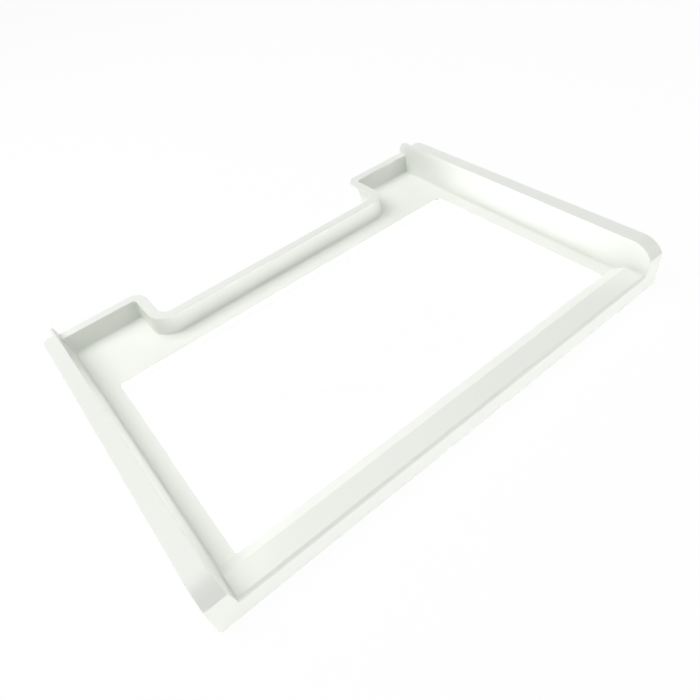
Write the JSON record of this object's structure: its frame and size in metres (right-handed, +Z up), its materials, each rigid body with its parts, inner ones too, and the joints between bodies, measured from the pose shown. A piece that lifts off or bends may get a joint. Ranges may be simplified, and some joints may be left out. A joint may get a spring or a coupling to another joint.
{
  "type": "refrigerator shelf",
  "caption": "White moulded refrigerator shelf with a clear glass pane, turned-out side flanges that fall to the front fascia and a rear wall notched in the middle.",
  "frame": {"origin": "middle of the footprint, on the plane that the shelf's lower edges rest on", "axes": "+X to the right seen from the fascia, +Y from the fascia to the notched rear edge, +Z up through the glass"},
  "size_m": [0.5, 0.355, 0.05],
  "materials": {
    "frame": "smooth white moulding, semi-gloss",
    "glass": "clear, polished"
  },
  "bodies": {
    "root": {"shelf_frame": "frame", "glass_pane": "glass"}
  },
  "joints": []
}
